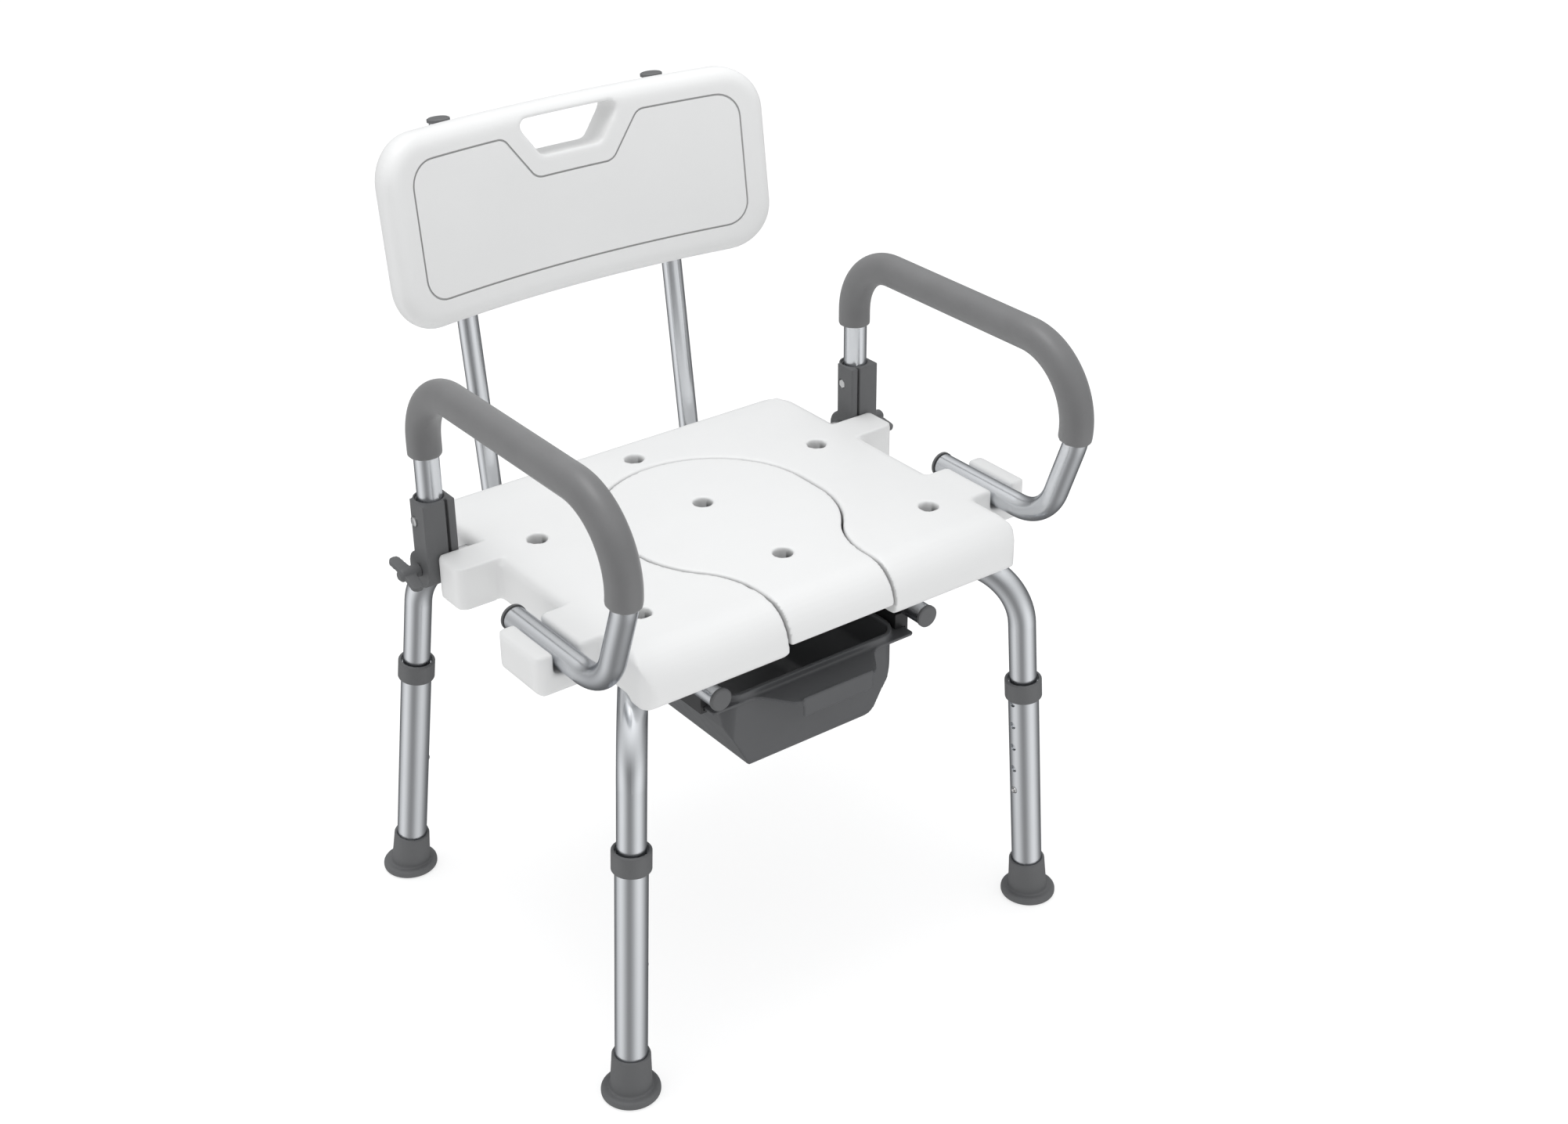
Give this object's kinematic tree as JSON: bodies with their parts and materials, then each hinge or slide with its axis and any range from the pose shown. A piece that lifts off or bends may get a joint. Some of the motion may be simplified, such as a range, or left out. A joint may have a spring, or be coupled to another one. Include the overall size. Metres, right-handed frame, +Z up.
{
  "type": "shower commode chair",
  "caption": "Height-adjustable shower commode chair with curved backrest, swing-up padded arms, lift-out keyhole seat insert and slide-out pail.",
  "frame": {"origin": "centre of the bounding box's underside, on the floor between the four feet", "axes": "+Z up, the sitter faces -Y, +X is the side to the sitter's left hand"},
  "size_m": [0.5368, 0.4843, 0.742],
  "materials": {
    "seat_white": "fine matte texture",
    "tube_silver": "satin anodised",
    "part_grey": "matte moulded",
    "foot_grey": "matte",
    "grip_grey": "foam",
    "pail_grey": "semi-gloss moulded",
    "guide_black": "matte extruded",
    "steel": "bright zinc"
  },
  "bodies": {
    "frame": {"seat_board": "seat_white", "backrest": "seat_white", "back_tube_left": "tube_silver", "back_tube_right": "tube_silver", "rail_cap_left": "part_grey", "rail_cap_right": "part_grey", "post_cap_left": "part_grey", "post_cap_right": "part_grey", "leg_frame_left": "tube_silver", "leg_frame_right": "tube_silver", "pivot_spacer_left": "steel", "pivot_spacer_right": "steel", "guide_rail_left": "guide_black", "guide_rail_right": "guide_black", "saddle_blocks": "part_grey", "seat_bolts": "steel", "backrest_screws": "steel", "guide_rivets": "steel"},
    "seat_insert": {"seat_insert": "seat_white"},
    "pail": {"pail": "pail_grey"},
    "arm_left": {"arm_tube_left": "tube_silver", "arm_grip_left": "grip_grey", "arm_end_cap_left": "part_grey", "arm_bracket_left": "part_grey", "arm_bolt_left": "steel"},
    "knob_left": {"lock_knob_left": "part_grey"},
    "arm_right": {"arm_tube_right": "tube_silver", "arm_grip_right": "grip_grey", "arm_end_cap_right": "part_grey", "arm_bracket_right": "part_grey", "arm_bolt_right": "steel"},
    "knob_right": {"lock_knob_right": "part_grey"},
    "leg_front_left": {"lower_leg_front_left": "tube_silver", "collar_front_left": "part_grey", "foot_front_left": "foot_grey"},
    "button_front_left": {"snap_button_front_left": "steel"},
    "leg_front_right": {"lower_leg_front_right": "tube_silver", "collar_front_right": "part_grey", "foot_front_right": "foot_grey"},
    "button_front_right": {"snap_button_front_right": "steel"},
    "leg_rear_left": {"lower_leg_rear_left": "tube_silver", "collar_rear_left": "part_grey", "foot_rear_left": "foot_grey"},
    "button_rear_left": {"snap_button_rear_left": "steel"},
    "leg_rear_right": {"lower_leg_rear_right": "tube_silver", "collar_rear_right": "part_grey", "foot_rear_right": "foot_grey"},
    "button_rear_right": {"snap_button_rear_right": "steel"}
  },
  "joints": [
    {"name": "insert_lift", "type": "slide", "parent": "frame", "child": "seat_insert", "axis": [0, 0, 1], "range_m": [0, 0.15]},
    {"name": "pail_slide", "type": "slide", "parent": "frame", "child": "pail", "axis": [0, -1, 0], "range_m": [0, 0.28]},
    {"name": "arm_left_swing", "type": "hinge", "parent": "frame", "child": "arm_left", "pos_m": [-0.2325, 0.0772, 0.4], "axis": [-1, 0, 0], "range_deg": [0, 90]},
    {"name": "knob_left_turn", "type": "hinge", "parent": "frame", "child": "knob_left", "pos_m": [-0.2325, 0.0772, 0.4], "axis": [-1, 0, 0], "range_deg": [0, 180]},
    {"name": "arm_right_swing", "type": "hinge", "parent": "frame", "child": "arm_right", "pos_m": [0.2325, 0.0772, 0.4], "axis": [-1, 0, 0], "range_deg": [0, 90]},
    {"name": "knob_right_turn", "type": "hinge", "parent": "frame", "child": "knob_right", "pos_m": [0.2325, 0.0772, 0.4], "axis": [1, 0, 0], "range_deg": [0, 180]},
    {"name": "leg_front_left_slide", "type": "slide", "parent": "frame", "child": "leg_front_left", "axis": [-0.0638, -0.0249, -0.9977], "range_m": [0, 0.098], "deforming": ["snap_button_front_left"]},
    {"name": "button_front_left_press", "type": "slide", "parent": "frame", "child": "button_front_left", "axis": [-0.998, 0.0008, 0.0638], "range_m": [0, 0.0044], "stiffness_N_per_m": 500, "deforming": ["snap_button_front_left"]},
    {"name": "leg_front_right_slide", "type": "slide", "parent": "frame", "child": "leg_front_right", "axis": [0.0638, -0.0249, -0.9977], "range_m": [0, 0.098], "deforming": ["snap_button_front_right"]},
    {"name": "button_front_right_press", "type": "slide", "parent": "frame", "child": "button_front_right", "axis": [0.998, 0.0008, 0.0638], "range_m": [0, 0.0044], "stiffness_N_per_m": 500, "deforming": ["snap_button_front_right"]},
    {"name": "leg_rear_left_slide", "type": "slide", "parent": "frame", "child": "leg_rear_left", "axis": [-0.063, 0.1068, -0.9923], "range_m": [0, 0.098], "deforming": ["snap_button_rear_left"]},
    {"name": "button_rear_left_press", "type": "slide", "parent": "frame", "child": "button_rear_left", "axis": [-0.998, -0.0034, 0.063], "range_m": [0, 0.0044], "stiffness_N_per_m": 500, "deforming": ["snap_button_rear_left"]},
    {"name": "leg_rear_right_slide", "type": "slide", "parent": "frame", "child": "leg_rear_right", "axis": [0.063, 0.1068, -0.9923], "range_m": [0, 0.098], "deforming": ["snap_button_rear_right"]},
    {"name": "button_rear_right_press", "type": "slide", "parent": "frame", "child": "button_rear_right", "axis": [0.998, -0.0034, 0.063], "range_m": [0, 0.0044], "stiffness_N_per_m": 500, "deforming": ["snap_button_rear_right"]}
  ]
}
